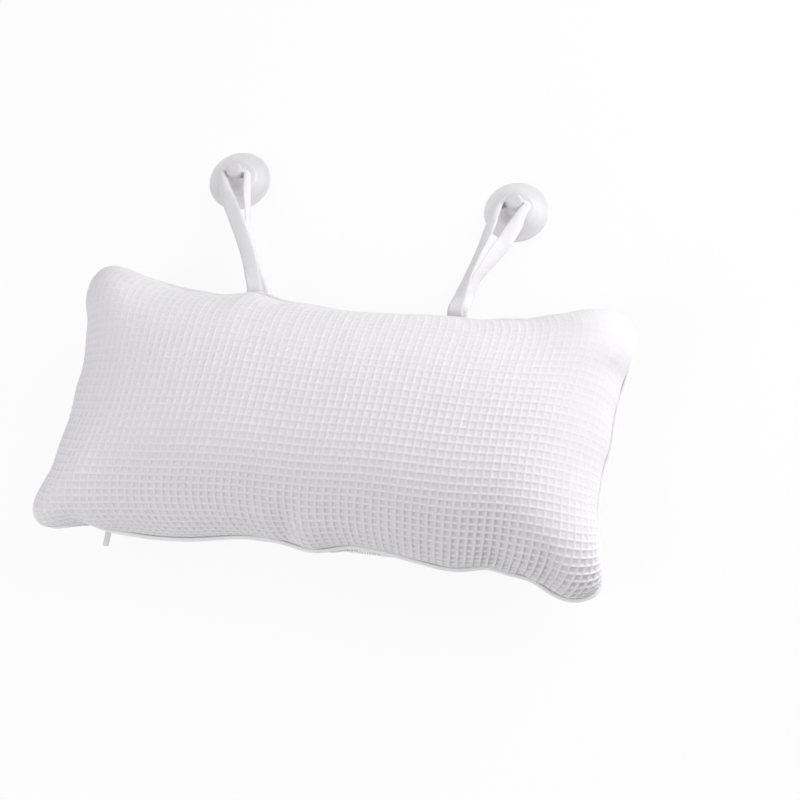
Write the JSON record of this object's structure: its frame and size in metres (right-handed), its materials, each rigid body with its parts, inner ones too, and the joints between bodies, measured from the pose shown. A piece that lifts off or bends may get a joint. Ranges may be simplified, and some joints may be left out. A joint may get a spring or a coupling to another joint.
{
  "type": "bath pillow",
  "caption": "Stuffed bath pillow in a zipped waffle cloth cover with piped edges, held to a bath wall by suction cups on looped fabric straps.",
  "frame": {"origin": "middle of the flat patch of the back, on the plane that the back and both cup rims rest on", "axes": "+X along the pillow's width, +Y towards the straps and cups, +Z out of the front; hung on a wall, +Y points up and -Z into the wall"},
  "size_m": [0.3318, 0.2718, 0.09],
  "materials": {
    "waffle_cloth": "white cotton waffle weave",
    "liner_cloth": "thin non-woven cloth",
    "fibre": "loose polyester fibre",
    "piping_cloth": "smooth white bias strip",
    "zip_tape": "woven white tape",
    "zip_nylon": "white nylon",
    "zip_metal": "pale grey paint",
    "strap_tape": "white cotton twill tape",
    "clear_vinyl": "clear soft vinyl, slightly milky"
  },
  "bodies": {
    "cushion": {"front_panel": "waffle_cloth", "back_panel": "waffle_cloth", "liner_front": "liner_cloth", "liner_back": "liner_cloth", "fibre_fill": "fibre", "piping_cover": "piping_cloth", "piping_cord": "piping_cloth", "zip_tape_front": "zip_tape", "zip_tape_back": "zip_tape", "zip_coil_front": "zip_nylon", "zip_coil_back": "zip_nylon", "zip_top_stop_front": "zip_metal", "zip_top_stop_back": "zip_metal", "zip_bottom_stop": "zip_metal"},
    "slider": {"zip_slider": "zip_metal"},
    "pull_tab": {"zip_pull_tab": "zip_metal"},
    "left_strap": {"strap_left": "strap_tape"},
    "right_strap": {"strap_right": "strap_tape"},
    "left_cup": {"suction_cup_left": "clear_vinyl"},
    "right_cup": {"suction_cup_right": "clear_vinyl"}
  },
  "joints": [
    {"name": "zip_slide", "type": "slide", "parent": "cushion", "child": "slider", "axis": [1, 0, 0], "range_m": [0, 0.246]},
    {"name": "pull_tab_swing", "type": "hinge", "parent": "slider", "child": "pull_tab", "pos_m": [-0.123, -0.07479, 0.0297], "axis": [1, 0, 0], "range_deg": [-50, 95]},
    {"name": "left_strap_fold", "type": "hinge", "parent": "cushion", "child": "left_strap", "pos_m": [-0.0618, 0.07639, 0.037], "axis": [1, 0, 0], "range_deg": [-70, 100]},
    {"name": "right_strap_fold", "type": "hinge", "parent": "cushion", "child": "right_strap", "pos_m": [0.0618, 0.07639, 0.037], "axis": [1, 0, 0], "range_deg": [-70, 100]},
    {"name": "left_cup_tilt", "type": "hinge", "parent": "left_strap", "child": "left_cup", "pos_m": [-0.0985, 0.166, 0.0124], "axis": [1, 0, 0], "range_deg": [-25, 90]},
    {"name": "right_cup_tilt", "type": "hinge", "parent": "right_strap", "child": "right_cup", "pos_m": [0.0815, 0.16, 0.0124], "axis": [1, 0, 0], "range_deg": [-25, 90]}
  ]
}
